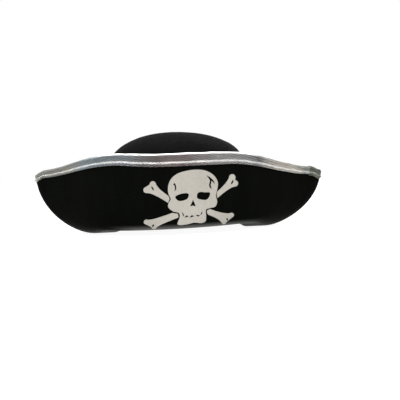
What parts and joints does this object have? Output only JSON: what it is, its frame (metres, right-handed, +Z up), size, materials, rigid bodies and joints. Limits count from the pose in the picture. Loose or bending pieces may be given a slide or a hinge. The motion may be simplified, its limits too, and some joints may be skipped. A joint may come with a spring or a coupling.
{
  "type": "pirate hat",
  "caption": "Costume pirate hat with a domed felt crown, a boat-shaped upturned brim, a silver bound edge and a skull and crossbones motif on the front.",
  "frame": {"origin": "on the surface that the brim's side shelves rest on, below the centre of the hat's box", "axes": "+Z up, +X to the wearer's left along the hat's length from tip to tip, and the front with the skull faces -Y"},
  "size_m": [0.38, 0.2215, 0.1285],
  "materials": {
    "crown_felt": "charcoal felt with a fuzzy face",
    "brim_felt": "deep black smooth felt",
    "silver_cloth": "metallic silver cloth with fine woven dots and faint rainbow tints",
    "silver_thread": "pale metallic thread",
    "ribbon": "black ribbed ribbon",
    "black_thread": "black sewing thread",
    "label_satin": "blank white satin",
    "motif_film": "warm off-white heat-pressed film"
  },
  "bodies": {
    "hat": {"crown": "crown_felt", "brim": "brim_felt", "edge_trim": "silver_cloth", "trim_stitching_outer": "silver_thread", "trim_stitching_inner": "silver_thread", "sweatband": "ribbon", "sweatband_stitching": "black_thread", "skull_motif": "motif_film", "bone_upper_left": "motif_film", "bone_upper_right": "motif_film", "bone_lower_left": "motif_film", "bone_lower_right": "motif_film", "front_tack_left": "black_thread", "front_tack_right": "black_thread", "back_tack_left": "black_thread", "back_tack_right": "black_thread"},
    "label": {"care_label": "label_satin"}
  },
  "joints": [
    {"name": "label_flip", "type": "hinge", "parent": "hat", "child": "label", "pos_m": [0, 0.0964, 0.0315], "axis": [-1, 0, 0], "range_deg": [0, 110]}
  ]
}
